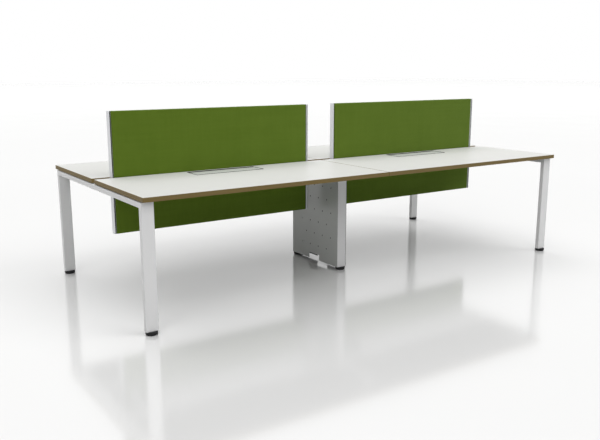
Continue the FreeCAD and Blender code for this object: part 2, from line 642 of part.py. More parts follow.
def foot_pad(label, x, y):
    """Disc, in flat sides, chamfered at the toe to the part that meets the floor."""
    disc = doc.addObject("Part::Prism", f"{label}_disc")
    disc.Polygon = FOOT_SIDES
    disc.setExpression("Circumradius", f"dims.foot_size / 2 / cos({180 / FOOT_SIDES} deg)")
    disc.setExpression("Height", FOOT_TOP)
    place(disc, x, y)
    doc.recompute()
    toe = value("dims.foot_toe")
    floor_edges = [index for index, edge in enumerate(disc.Shape.Edges, 1)
                   if edge.BoundBox.ZMax < NEAR]
    foot = doc.addObject("Part::Chamfer", label)
    foot.Base = disc
    foot.Edges = [(index, toe, toe) for index in floor_edges]
    keep(foot, label)


def leg_insert(name, x, y):
    """Block that fills the end of a leg, bored for the stud."""
    body = new_body(name)
    half_width = "(dims.tube_width / 2 - dims.tube_wall)"
    half_depth = "(dims.tube_depth / 2 - dims.tube_wall)"
    section = new_sketch(body, "section", "XY_Plane")
    add_loop(section, rectangle(f"-{half_width}", f"-{half_depth}", half_width, half_depth))
    add_round(section, "0", "0", "dims.stud_size / 2 + dims.stud_clearance", BORE_SIDES)
    pad(body, section, "dims.insert_height")
    return place(body, x, y, LEG_BOTTOM)


FOOT_Y = f"({FRAME_HALF} - dims.tube_depth / 2)"
CENTRE_FOOT_Y = f"({CENTRE_HALF} - dims.tube_depth / 2)"
FEET = (
    ("front_left", f"-{END_X}", f"-{FOOT_Y}"),
    ("front_right", END_X, f"-{FOOT_Y}"),
    ("rear_left", f"-{END_X}", FOOT_Y),
    ("rear_right", END_X, FOOT_Y),
    ("centre_front", "0", f"-{CENTRE_FOOT_Y}"),
    ("centre_rear", "0", CENTRE_FOOT_Y),
)
inserts = []
for corner, x, y in FEET:
    foot_pad(f"foot_pad_{corner}", x, y)
    stud = place(doc.addObject("Part::Cylinder", f"foot_stud_{corner}"), x, y, FOOT_TOP)
    stud.setExpression("Radius", "dims.stud_size / 2")
    stud.setExpression("Height", "dims.stud_length")
    keep(stud, f"foot_stud_{corner}")
    inserts.append(leg_insert(f"insert_{corner}", x, y))
group("leg_inserts", inserts)


doc.recompute()
failed = [item.Name for item in doc.Objects
          if "Invalid" in item.State or "Error" in item.State]
for piece in pieces:
    if piece.Shape.isNull() or not piece.Shape.isValid():
        failed.append(piece.Label)
if failed:
    raise RuntimeError("did not build: " + ", ".join(failed))

os.makedirs("parts", exist_ok=True)
for piece in pieces:
    piece.Shape.exportStep(f"parts/{piece.Label}.step")
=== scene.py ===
import math

import bmesh
import bpy
import numpy as np
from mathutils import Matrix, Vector


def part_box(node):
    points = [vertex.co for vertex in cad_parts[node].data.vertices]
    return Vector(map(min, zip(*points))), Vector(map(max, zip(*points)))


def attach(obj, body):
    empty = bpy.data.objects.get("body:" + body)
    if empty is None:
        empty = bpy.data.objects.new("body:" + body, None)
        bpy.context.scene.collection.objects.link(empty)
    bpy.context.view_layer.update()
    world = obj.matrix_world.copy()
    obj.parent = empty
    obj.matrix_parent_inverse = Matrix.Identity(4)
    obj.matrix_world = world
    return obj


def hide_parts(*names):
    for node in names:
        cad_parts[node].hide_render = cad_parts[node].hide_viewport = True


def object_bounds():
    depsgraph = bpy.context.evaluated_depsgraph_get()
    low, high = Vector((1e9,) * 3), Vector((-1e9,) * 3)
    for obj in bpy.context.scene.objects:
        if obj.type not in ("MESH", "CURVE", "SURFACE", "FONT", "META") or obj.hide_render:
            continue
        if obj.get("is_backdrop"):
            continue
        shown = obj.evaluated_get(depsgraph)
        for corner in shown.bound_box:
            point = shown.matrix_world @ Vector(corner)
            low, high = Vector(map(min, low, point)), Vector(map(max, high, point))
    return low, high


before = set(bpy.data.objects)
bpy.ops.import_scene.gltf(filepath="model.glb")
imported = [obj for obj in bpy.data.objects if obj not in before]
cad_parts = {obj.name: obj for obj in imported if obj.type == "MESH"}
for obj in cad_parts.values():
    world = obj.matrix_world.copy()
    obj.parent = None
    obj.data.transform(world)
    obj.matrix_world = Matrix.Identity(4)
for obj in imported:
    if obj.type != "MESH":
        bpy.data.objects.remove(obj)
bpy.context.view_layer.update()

# End frames: a leg in front, a leg behind and a beam over both, of flat rectangular steel tube.
# The tubes are mitred at the upper corners, welded, ground flush and powder coated white.
QUARTERS = ("front_left", "front_right", "rear_left", "rear_right")
X, Y, Z = 0, 1, 2
TUBE_WALL = 0.002
TUBE_CORNER = 0.003
BORE_CORNER = 0.001
CORNER_STEPS = 5
SHARP_ANGLE = math.radians(32)
WELD_DISTANCE = 1e-6
WHITE_COAT = (0.89, 0.89, 0.89, 1)
WHITE_COAT_DULL = (0.85, 0.85, 0.85, 1)
FRAME_PEEL = 700.0
FINE_PEEL_RATIO = 3.4
FINE_PEEL_SHARE = 0.4
SCUFF_GREY = (0.30, 0.30, 0.29, 1)
SCUFF_REACH = 0.20
SCUFF_SHARE = 0.22
SCUFF_DULLING = 0.15


def corners_of(node):
    """The lowest and the highest corner of a solid's box."""
    low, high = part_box(node)
    return np.array(low), np.array(high)


def grid_quads(rows, columns, wrap_rows=False, wrap_columns=False):
    """Four corner numbers of each cell of a grid of points: (i, j), (i+1, j), (i+1, j+1) and (i, j+1)."""
    i, j = np.meshgrid(np.arange(rows if wrap_rows else rows - 1),
                       np.arange(columns if wrap_columns else columns - 1), indexing="ij")
    next_i = (i + 1) % rows
    next_j = (j + 1) % columns
    corners = (i * columns + j, next_i * columns + j, next_i * columns + next_j, i * columns + next_j)
    return np.stack(corners, -1).reshape(-1, 4)


def joined(patches):
    """One set of points and quads from several: a patch's corner numbers move on by the points before it."""
    points = [grid.reshape(-1, grid.shape[-1]) for grid, quads in patches]
    starts = np.cumsum([0] + [len(some) for some in points[:-1]])
    quads = np.concatenate([quads + start for start, (grid, quads) in zip(starts, patches)])
    return np.concatenate(points), quads


def make_piece(name, points, quads, body, material, corner_uv=None):
    """A mesh of quads that rides on a body. Points that coincide are welded, and normals turn outwards."""
    points = np.asarray(points, float).reshape(-1, 3)
    mesh = bpy.data.meshes.new(name)
    mesh.vertices.add(len(points))
    mesh.vertices.foreach_set("co", points.ravel())
    mesh.loops.add(quads.size)
    mesh.loops.foreach_set("vertex_index", quads.ravel().astype(np.int32))
    mesh.polygons.add(len(quads))
    mesh.polygons.foreach_set("loop_start", np.arange(0, quads.size, 4, dtype=np.int32))
    mesh.update(calc_edges=True)
    if corner_uv is not None:
        layer = mesh.uv_layers.new(name="along_and_across")
        layer.data.foreach_set("uv", np.asarray(corner_uv, float).ravel())
    welded = bmesh.new()
    welded.from_mesh(mesh)
    bmesh.ops.remove_doubles(welded, verts=welded.verts, dist=WELD_DISTANCE)
    bmesh.ops.recalc_face_normals(welded, faces=welded.faces)
    welded.to_mesh(mesh)
    welded.free()
    mesh.shade_smooth()
    mesh.set_sharp_from_angle(angle=SHARP_ANGLE)
    mesh.materials.append(material)
    piece = bpy.data.objects.new(name, mesh)
    bpy.context.scene.collection.objects.link(piece)
    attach(piece, body)
    return piece


def even_shading(piece):
    """Large flat faces keep their own direction beside small rounded edges."""
    weights = piece.modifiers.new("even_shading", "WEIGHTED_NORMAL")
    weights.keep_sharp = True


def rounded_rectangle(width, depth, radius, steps):
    """Points round a rectangle: at each corner, the arc's centre plus the radius times the cosine and sine of
    an angle that runs through a quarter turn."""
    quarter = np.linspace(0, math.pi / 2, steps + 1)
    turn = (np.arange(4)[:, None] * math.pi / 2 + quarter).ravel()
    side_x = np.repeat((1, -1, -1, 1), steps + 1)
    side_y = np.repeat((1, 1, -1, -1), steps + 1)
    x = side_x * (width / 2 - radius) + radius * np.cos(turn)
    y = side_y * (depth / 2 - radius) + radius * np.sin(turn)
    return np.stack((x, y), -1)


def new_material(name, coordinates="Object"):
    """A node material with its shader and its coordinates."""
    material = bpy.data.materials.new(name)
    material.use_nodes = True
    tree = material.node_tree
    shader = tree.nodes["Principled BSDF"]
    place = tree.nodes.new("ShaderNodeTexCoord")
    return material, tree, shader, place.outputs[coordinates]


def add_node(tree, kind, settings=None, **inputs):
    """A node with its settings and inputs. An input is a value or the socket that feeds it. Its key is the
    socket's name, or its number after a low line."""
    node = tree.nodes.new(kind)
    for key, setting in (settings or {}).items():
        setattr(node, key, setting)
    for key, given in inputs.items():
        socket = node.inputs[int(key[1:])] if key[0] == "_" else node.inputs[key.replace("_", " ")]
        if isinstance(given, bpy.types.NodeSocket):
            tree.links.new(given, socket)
        else:
            socket.default_value = given
    return node


def maths(tree, operation, *values):
    """The result of one arithmetic step."""
    inputs = {f"_{index}": given for index, given in enumerate(values)}
    return add_node(tree, "ShaderNodeMath", {"operation": operation}, **inputs).outputs[0]


def mixed(tree, factor, first, second):
    """A colour between two, by a factor: the Mix node's colour sockets are inputs 6 and 7 and output 2."""
    return add_node(tree, "ShaderNodeMix", {"data_type": "RGBA"}, _0=factor, _6=first, _7=second).outputs[2]


def spread(tree, given, low, high):
    """A value from 0 to 1 spread over another range."""
    return add_node(tree, "ShaderNodeMapRange", Value=given, To_Min=low, To_Max=high).outputs[0]


def noise(tree, place, scale, detail, roughness=0.5):
    """Noise from 0 to 1. The scale is one number, or three where the pattern is stretched."""
    if isinstance(scale, tuple):
        place = add_node(tree, "ShaderNodeMapping", Vector=place, Scale=scale).outputs[0]
        scale = 1.0
    return add_node(tree, "ShaderNodeTexNoise", Vector=place, Scale=scale, Detail=detail,
                    Roughness=roughness).outputs[0]


def add_bump(tree, shader, height, strength, distance):
    """A surface raised by a height."""
    bump = add_node(tree, "ShaderNodeBump", Strength=strength, Distance=distance, Height=height)
    tree.links.new(bump.outputs[0], shader.inputs["Normal"])


def new_group(name, inputs, outputs):
    """An empty node group with named number or vector inputs and named number outputs."""
    group = bpy.data.node_groups.new(name, "ShaderNodeTree")
    for label, kind in inputs:
        group.interface.new_socket(label, in_out="INPUT", socket_type=kind)
    for label in outputs:
        group.interface.new_socket(label, in_out="OUTPUT", socket_type="NodeSocketFloat")
    return group, group.nodes.new("NodeGroupInput").outputs, group.nodes.new("NodeGroupOutput").inputs


def use_group(tree, group, **inputs):
    """The outputs of a node group that is placed in a material with its own values."""
    return add_node(tree, "ShaderNodeGroup", {"node_tree": group}, **inputs).outputs


def powder_grain_group():
    """Orange peel: fine noise over coarser noise for the height, and slow clouds for the mottle."""
    group, given, result = new_group(
        "powder_grain", (("Place", "NodeSocketVector"), ("Grain", "NodeSocketFloat")), ("Height", "Mottle"))
    coarse = noise(group, given["Place"], scale=given["Grain"], detail=2.0)
    fine_scale = maths(group, "MULTIPLY", given["Grain"], FINE_PEEL_RATIO)
    fine = noise(group, given["Place"], scale=fine_scale, detail=1.0)
    clouds = noise(group, given["Place"], scale=5.0, detail=5.0, roughness=0.6)
    group.links.new(maths(group, "MULTIPLY_ADD", fine, FINE_PEEL_SHARE, coarse), result["Height"])
    group.links.new(clouds, result["Mottle"])
    return group


def scuff_group():
    """Shoe scuffs: short level streaks that fade out with height above the floor."""
    group, given, result = new_group(
        "floor_scuffs", (("Place", "NodeSocketVector"), ("Reach", "NodeSocketFloat")), ("Scuffs",))
    height = add_node(group, "ShaderNodeSeparateXYZ", _0=given["Place"]).outputs["Z"]
    low = add_node(group, "ShaderNodeMapRange", Value=height, From_Max=given["Reach"],
                   To_Min=1.0, To_Max=0.0)
    streaks = noise(group, given["Place"], scale=(14.0, 14.0, 160.0), detail=6.0, roughness=0.7)
    sharp = add_node(group, "ShaderNodeMapRange", Value=streaks, From_Min=0.60, From_Max=0.72)
    group.links.new(maths(group, "MULTIPLY", low.outputs[0], sharp.outputs[0]), result["Scuffs"])
    return group


powder_grain = powder_grain_group()
floor_scuffs = scuff_group()


def powder_coat(name, colour, dull, grain):
    """Satin paint with orange peel, a slow change of tone, and faint scuffs where shoes reach it."""
    material, tree, shader, place = new_material(name)
    peel = use_group(tree, powder_grain, Place=place, Grain=grain)
    scuffs = use_group(tree, floor_scuffs, Place=place, Reach=SCUFF_REACH)["Scuffs"]
    tone = mixed(tree, peel["Mottle"], colour, dull)
    worn = mixed(tree, maths(tree, "MULTIPLY", scuffs, SCUFF_SHARE), tone, SCUFF_GREY)
    tree.links.new(worn, shader.inputs["Base Color"])
    gloss = spread(tree, peel["Mottle"], low=0.34, high=0.46)
    tree.links.new(maths(tree, "MULTIPLY_ADD", scuffs, SCUFF_DULLING, gloss), shader.inputs["Roughness"])
    add_bump(tree, shader, peel["Height"], strength=0.10, distance=0.0004)
    shader.inputs["Coat Roughness"].default_value = 0.25
    shader.inputs["Coat Weight"].default_value = 0.15
    return material


white_coat = powder_coat("white_powder_coat", WHITE_COAT, WHITE_COAT_DULL, FRAME_PEEL)


def mitred_tube(node, along, across, outer_face, mitres):
    """Skin of a tube: its outer section and its bore, each carried from end to end and closed at the ends.
    At a mitred end, the place along the tube draws back by the distance from the outer face."""
    low, high = corners_of(node)
    middle, size = (low + high) / 2, high - low
    rings = []
    for inset, radius in ((0.0, TUBE_CORNER), (TUBE_WALL, BORE_CORNER)):
        section = rounded_rectangle(size[X] - 2 * inset, size[across] - 2 * inset, radius, CORNER_STEPS)
        ends = []
        for end, inward, mitred in zip((low[along], high[along]), (1, -1), mitres):
            ring = np.zeros((len(section), 3))
            ring[:, X] = middle[X] + section[:, 0]
            ring[:, across] = middle[across] + section[:, 1]
            ring[:, along] = end + inward * mitred * np.abs(ring[:, across] - outer_face)
            ends.append(ring)
        rings.append(ends)
    rows = np.stack((rings[0][0], rings[0][1], rings[1][1], rings[1][0]))
    quads = grid_quads(4, rows.shape[1], wrap_rows=True, wrap_columns=True)
    piece = make_piece(f"{node}_tube", rows, quads, "desk", white_coat)
    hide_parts(node)
    even_shading(piece)


def standing_tube(node):
    """Leg or upright: square at its foot and mitred at its top, where its outer side is the longer one."""
    low, high = corners_of(node)
    mitred_tube(node, Z, Y, low[Y] if "front" in node else high[Y], (0, 1))


def lying_tube(node):
    """Beam or rail: mitred at both ends, where its upper side is the longer one."""
    mitred_tube(node, Y, Z, corners_of(node)[1][Z], (1, 1))


for quarter in QUARTERS:
    standing_tube(f"leg_{quarter}")
for side in ("left", "right"):
    lying_tube(f"end_beam_{side}")

# Centre leg: two uprights and a head rail of the same tube, sheathed on both sides in steel sheet.
# The sheets are punched with staggered round holes and notched at the foot for cables.
SHEET_THICKNESS = 0.002
INSIDE_SHADE_DEPTH = SHEET_THICKNESS / 8
HOLE_RADIUS = 0.0055
HOLE_COLLAR = 1.6
HOLE_CHAMFER = 0.0004
HOLES_IN_ROW = 4
HOLE_ROWS = 6
HOLE_MARGIN = 0.079
ROW_MARGIN_LOW = 0.104
ROW_MARGIN_HIGH = 0.107
NOTCH_HALF = 0.059
NOTCH_HEIGHT = 0.040
CELL_STEPS = 8
GREY_COAT = (0.58, 0.595, 0.57, 1)
GREY_COAT_DULL = (0.53, 0.54, 0.52, 1)
# Near-black painted shade for the sheets' inner faces, seen through the holes.
INSIDE_SHADE_BLACK = (0.020, 0.020, 0.021, 1)

for end in ("front", "rear"):
    standing_tube(f"centre_upright_{end}")
lying_tube("centre_head_rail")


def shade_painted_inside(material, limit):
    """Painted shade inside the leg: nearer the desk's middle than the limit, the sheets' inner faces turn
    near black, so the holes look dark.
    """
    tree = material.node_tree
    base = tree.nodes["Principled BSDF"].inputs["Base Color"]
    place = add_node(tree, "ShaderNodeTexCoord").outputs["Object"]
    across = maths(tree, "ABSOLUTE", add_node(tree, "ShaderNodeSeparateXYZ", _0=place).outputs["X"])
    inside = maths(tree, "LESS_THAN", across, limit)
    tree.links.new(mixed(tree, inside, base.links[0].from_socket, INSIDE_SHADE_BLACK), base)
    return material


inner_face = corners_of("centre_panel_right")[0][X]
# Grey coat outside, and painted shade on the sheets' inner faces.
grey_coat_with_inside_shade = shade_painted_inside(powder_coat("grey_powder_coat", GREY_COAT, GREY_COAT_DULL, FRAME_PEEL),
                          inner_face + INSIDE_SHADE_DEPTH)


def holed_cell(centre, half_width, half_height):
    """Sheet round one hole: rings from the circle, over a collar round it, to the cell's outline, along
    lines through the centre."""
    run = np.linspace(-1, 1, CELL_STEPS, endpoint=False)
    ones = np.ones(CELL_STEPS)
    sides = ((run, -ones), (ones, run), (-run, ones), (-ones, -run))
    edge = np.concatenate([np.stack(side, -1) for side in sides]) * (half_width, half_height)
    ray = edge / np.linalg.norm(edge, axis=1, keepdims=True)
    rings = np.stack((ray * HOLE_RADIUS, ray * HOLE_RADIUS * HOLE_COLLAR, edge)) + centre
    return rings, grid_quads(3, len(edge), wrap_columns=True)


def plain_patch(across, up):
    """Flat grid of sheet between given lines across and lines up."""
    return np.stack(np.meshgrid(across, up, indexing="ij"), -1), grid_quads(len(across), len(up))


def punched_rows(half, height):
    """Rows of holed cells, each second row half a pitch to the front, with plain strips beside and above.
    The foot's strip joins on below, at the same lines across."""
    pitch = 2 * (half - HOLE_MARGIN) / HOLES_IN_ROW
    row_pitch = (height - ROW_MARGIN_LOW - ROW_MARGIN_HIGH) / (HOLE_ROWS - 1)
    field = pitch * (HOLES_IN_ROW + 1) / 2
    lines = np.linspace(-field, field, CELL_STEPS * (HOLES_IN_ROW + 1) + 1)
    patches = []
    for row in range(HOLE_ROWS):
        level = ROW_MARGIN_LOW + row * row_pitch
        levels = np.linspace(level - row_pitch / 2, level + row_pitch / 2, CELL_STEPS + 1)
        holes = (np.arange(HOLES_IN_ROW) - (HOLES_IN_ROW - 1 + row % 2) / 2) * pitch
        patches += [holed_cell((hole, level), pitch / 2, row_pitch / 2) for hole in holes]
        before = lines[lines < holes[0] - pitch / 2 + WELD_DISTANCE]
        after = lines[lines > holes[-1] + pitch / 2 - WELD_DISTANCE]
        patches.append(plain_patch(np.concatenate(((-half,), before)), levels))
        patches.append(plain_patch(np.concatenate((after, (half,))), levels))
    across = np.concatenate(((-half,), lines, (half,)))
    field_top = ROW_MARGIN_LOW + (HOLE_ROWS - 0.5) * row_pitch
    patches.append(plain_patch(across, np.array((field_top, height))))
    return patches, across, ROW_MARGIN_LOW - row_pitch / 2


def notched_foot(across, foot_top):
    """Strip at the foot, with the nearest lines across moved to the notch's sides: one band over the notch
    and one patch on each side of it."""
    notch_lines = across.copy()
    for notch_side in (NOTCH_HALF, -NOTCH_HALF):
        notch_lines[np.argmin(np.abs(across - notch_side))] = notch_side
    band = np.stack([np.column_stack((line, np.full(len(line), level)))
                     for line, level in ((notch_lines, NOTCH_HEIGHT), (across, foot_top))], 1)
    patches = [(band, grid_quads(len(across), 2))]
    for sign in (-1, 1):
        beside = notch_lines[notch_lines * sign > NOTCH_HALF - WELD_DISTANCE]
        patches.append(plain_patch(beside, np.array((0, NOTCH_HEIGHT))))
    return patches


def perforated_sheet(node):
    """Punched panel: the flat pattern stood up in the sheet's outer face, and thickened inwards."""
    low, high = corners_of(node)
    patches, across, foot_top = punched_rows((high[Y] - low[Y]) / 2, high[Z] - low[Z])
    flat, quads = joined(patches + notched_foot(across, foot_top))
    outer_x = high[X] if high[X] > 0 else low[X]
    points = np.column_stack((np.full(len(flat), outer_x), flat + (0, low[Z])))
    piece = make_piece(f"{node}_punched", points, quads, "desk", grey_coat_with_inside_shade)
    if piece.data.polygons[0].normal.x * outer_x < 0:
        piece.data.flip_normals()
    wall = piece.modifiers.new("sheet", "SOLIDIFY")
    wall.thickness = SHEET_THICKNESS
    wall.offset = -1
    broken = piece.modifiers.new("broken_edges", "BEVEL")
    broken.width = HOLE_CHAMFER
    broken.segments = 2
    broken.limit_method = "ANGLE"
    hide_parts(node)
    even_shading(piece)


for side in ("left", "right"):
    perforated_sheet(f"centre_panel_{side}")

# Under-frame: long tubes with end plates, cantilever arms, worktop plates, screen hangers and cable trays.
# All are cut and folded steel, coated like the frames, and button-head screws hold them together.
HEAD_RADIUS = 0.006
HEAD_HEIGHT = 0.0033
HEAD_SIDES = 24
DOME_SHARES_AND_HEIGHTS = ((1.0, 0.0), (1.0, 0.0006), (0.86, 0.0020), (0.62, 0.0030))
SOCKET_RADIUS = 0.0023
SOCKET_DEPTH = 0.0018
SOCKET_FLARE = 1.06
SOCKET_EDGE = 0.0002
SOCKET_CENTRE = 0.02
ZINC = (0.62, 0.62, 0.60, 1)
ZINC_DARK = (0.44, 0.44, 0.43, 1)
PLATE_SCREW_SPREAD = 0.028
ARM_SCREW_SPREAD = 0.035
END_PLATE_SPREAD = 0.0325
END_PLATE_THICKNESS = 0.005
TRAY_SHEET = 0.0015
TRAY_SCREW_REACH = 0.42
TRAY_SCREW_DROP = 0.020
HANGER_SHEET = 0.004
HANGER_SCREW_DROPS = (0.026, 0.056)


def give_finish(material, *starts):
    """Puts a finish on every solid whose name starts with one of these."""
    for name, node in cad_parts.items():
        if name.startswith(starts):
            node.data.materials.clear()
            node.data.materials.append(material)


give_finish(white_coat, "long_beam", "centre_arm", "worktop_brackets", "screen_brackets", "cable_tray")


def zinc_finish():
    """Bright zinc plate: metal with slow patches of tone and fine turning marks."""
    material, tree, shader, place = new_material("zinc_plate")
    patches = noise(tree, place, scale=120.0, detail=4.0)
    marks = noise(tree, place, scale=2600.0, detail=1.0)
    tree.links.new(mixed(tree, patches, ZINC_DARK, ZINC), shader.inputs["Base Color"])
    tree.links.new(spread(tree, patches, low=0.24, high=0.42), shader.inputs["Roughness"])
    add_bump(tree, shader, marks, strength=0.08, distance=0.0002)
    shader.inputs["Metallic"].default_value = 1.0
    return material


zinc_plate = zinc_finish()
give_finish(zinc_plate, "flap_hinge_rods")


def screw_heads(name, spots, direction):
    """Button heads at spots, facing a direction: rings of a dome, then of a six-sided socket whose radius is
    that of the flat divided by the cosine of the angle from its middle, round each axis."""
    turn = np.linspace(0, 2 * math.pi, HEAD_SIDES, endpoint=False)
    sixth = math.pi / 3
    hexagon = SOCKET_RADIUS / np.cos((turn % sixth) - sixth / 2)
    profile = [(np.full(HEAD_SIDES, share * HEAD_RADIUS), rise) for share, rise in DOME_SHARES_AND_HEIGHTS]
    profile += [(SOCKET_FLARE * hexagon, HEAD_HEIGHT),
                (hexagon, HEAD_HEIGHT - SOCKET_EDGE),
                (hexagon, HEAD_HEIGHT - SOCKET_DEPTH),
                (SOCKET_CENTRE * hexagon, HEAD_HEIGHT - SOCKET_DEPTH)]
    axis = np.array(direction, float)
    side = np.array((1.0, 0.0, 0.0) if direction[Y] else (0.0, 1.0, 0.0))
    around = np.cos(turn)[:, None] * side + np.sin(turn)[:, None] * np.cross(axis, side)
    rings = np.stack([radius[:, None] * around + rise * axis for radius, rise in profile])
    quads = grid_quads(len(profile), HEAD_SIDES, wrap_columns=True)
    points, faces = joined([(rings + np.array(spot), quads) for spot in spots])
    make_piece(name, points, faces, "desk", zinc_plate)


def solids_of(node):
    """Boxes of the separate solids in a node: each point takes the lowest number among the points that an
    edge joins to it, again and again until no number changes. Points with one number are one solid."""
    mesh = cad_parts[node].data
    places = np.empty(3 * len(mesh.vertices), np.float32)
    mesh.vertices.foreach_get("co", places)
    edges = np.empty(2 * len(mesh.edges), np.int32)
    mesh.edges.foreach_get("vertices", edges)
    points = places.reshape(-1, 3).astype(float)
    spots, spot_of = np.unique(np.round(points / WELD_DISTANCE), axis=0, return_inverse=True)
    ends = spot_of.ravel()[edges].reshape(-1, 2)
    ends = np.concatenate((ends, ends[:, ::-1]))
    number = np.arange(len(spots))
    before = None
    while before is None or (before != number).any():
        before = number.copy()
        np.minimum.at(number, ends[:, 0], before[ends[:, 1]])
    solid = number[spot_of.ravel()]
    return [(points[solid == each].min(0), points[solid == each].max(0)) for each in np.unique(solid)]


plate_spots = []
for low, high in solids_of("worktop_brackets"):
    middle = (low + high) / 2
    lengthwise = np.eye(3)[np.argmax(high - low)]
    if abs(middle[X]) < HEAD_RADIUS:
        steps = (-ARM_SCREW_SPREAD, ARM_SCREW_SPREAD)
    elif lengthwise[X]:
        steps = (-np.sign(middle[X]) * PLATE_SCREW_SPREAD,)
    else:
        steps = (np.sign(middle[Y]) * PLATE_SCREW_SPREAD,)
    plate_spots += [(*(middle + step * lengthwise)[:Z], low[Z]) for step in steps]
screw_heads("worktop_screws", plate_spots, (0, 0, -1))

hanger_spots = {-1: [], 1: []}
for low, high in solids_of("screen_brackets"):
    facing = 1 if high[Y] > abs(low[Y]) else -1
    face_y = (low[Y] if facing > 0 else high[Y]) + facing * HANGER_SHEET
    hanger_spots[facing] += [((low[X] + high[X]) / 2, face_y, high[Z] - drop) for drop in HANGER_SCREW_DROPS]
for facing, end in ((-1, "front"), (1, "rear")):
    screw_heads(f"screen_screws_{end}", hanger_spots[facing], (0, facing, 0))

beam_spots = {-1: [], 1: []}
tray_spots = {-1: [], 1: []}
for quarter in QUARTERS:
    low, high = corners_of(f"long_beam_{quarter}")
    middle = (low + high) / 2
    for facing, plate_x in ((1, low[X] + END_PLATE_THICKNESS), (-1, high[X] - END_PLATE_THICKNESS)):
        beam_spots[facing] += [(plate_x, middle[Y] + step, middle[Z])
                               for step in (-END_PLATE_SPREAD, END_PLATE_SPREAD)]
    tray_low, tray_high = corners_of(f"cable_tray_{quarter}")
    tray_middle = (tray_low[X] + tray_high[X]) / 2
    facing = -1 if "rear" in quarter else 1
    flange_y = tray_low[Y] + TRAY_SHEET if facing > 0 else tray_high[Y] - TRAY_SHEET
    tray_spots[facing] += [(tray_middle + step, flange_y, tray_high[Z] - TRAY_SCREW_DROP)
                           for step in (-TRAY_SCREW_REACH, 0, TRAY_SCREW_REACH)]
for facing, side in ((-1, "left"), (1, "right")):
    screw_heads(f"beam_bolts_{side}", beam_spots[facing], (facing, 0, 0))
for facing, end in ((1, "front"), (-1, "rear")):
    screw_heads(f"tray_screws_{end}", tray_spots[facing], (0, facing, 0))

# Worktops: chipboard faced above with fine-textured white laminate and below with grey backing, darkened as
# painted shade.
# A brown edge band, two millimetres thick, is glued round all four sides and scraped round at its arrises.
BAND_THICKNESS = 0.002
BAND_CORNER = 0.003
BAND_ARRIS = 0.0009
ARRIS_STEPS = 3
LAMINATE_WHITE = (0.80, 0.80, 0.775, 1)
LAMINATE_SHADE = (0.765, 0.765, 0.74, 1)
SPECK_SHARE = 0.5
BACKING_AND_SHADE_GREY = (0.15, 0.148, 0.14, 1)
BAND_BROWN = (0.220, 0.157, 0.057, 1)
BAND_DARK = (0.152, 0.105, 0.033, 1)
BROAD_STREAK_SHARE = 0.6


def laminate_finish(middle):
    """Melamine: a fine pebble for the height, specks and slow clouds of tone, and below the middle a dark
    grey: backing laminate deepened by painted shade.
    """
    material, tree, shader, place = new_material("white_laminate")
    clouds = noise(tree, place, scale=3.0, detail=6.0, roughness=0.65)
    specks = noise(tree, place, scale=1400.0, detail=1.0)
    pebble = add_node(tree, "ShaderNodeTexVoronoi", Vector=place, Scale=900.0)
    cloud_part = maths(tree, "MULTIPLY", clouds, 1 - SPECK_SHARE)
    shade = maths(tree, "MULTIPLY_ADD", specks, SPECK_SHARE, cloud_part)
    white = mixed(tree, shade, LAMINATE_WHITE, LAMINATE_SHADE)
    height = add_node(tree, "ShaderNodeSeparateXYZ", _0=place).outputs["Z"]
    below = maths(tree, "LESS_THAN", height, middle)
    # Under the board's middle: the backing's grey, darkened into painted shade under the worktop.
    tree.links.new(mixed(tree, below, white, BACKING_AND_SHADE_GREY), shader.inputs["Base Color"])
    tree.links.new(spread(tree, clouds, low=0.34, high=0.46), shader.inputs["Roughness"])
    add_bump(tree, shader, pebble.outputs["Distance"], strength=0.05, distance=0.0002)
    shader.inputs["Specular IOR Level"].default_value = 0.04
    return material


def band_finish():
    """Brown edge band: long streaks along it, fine over broad, with a faint bump from the fine ones."""
    material, tree, shader, along = new_material("brown_edge_band", "UV")
    fine = noise(tree, along, scale=(9.0, 700.0, 1.0), detail=5.0, roughness=0.6)
    broad = noise(tree, along, scale=(3.0, 90.0, 1.0), detail=2.0)
    fine_part = maths(tree, "MULTIPLY", fine, 1 - BROAD_STREAK_SHARE)
    grain = maths(tree, "MULTIPLY_ADD", broad, BROAD_STREAK_SHARE, fine_part)
    contrast = spread(tree, grain, low=-0.4, high=1.4)
    tree.links.new(mixed(tree, contrast, BAND_DARK, BAND_BROWN), shader.inputs["Base Color"])
    tree.links.new(spread(tree, fine, low=0.46, high=0.62), shader.inputs["Roughness"])
    add_bump(tree, shader, fine, strength=0.10, distance=0.0003)
    shader.inputs["Specular IOR Level"].default_value = 0.25
    return material


board_low, board_high = corners_of("worktop_front_left")
give_finish(laminate_finish((board_low[Z] + board_high[Z]) / 2), "worktop_front", "worktop_rear")
brown_band = band_finish()


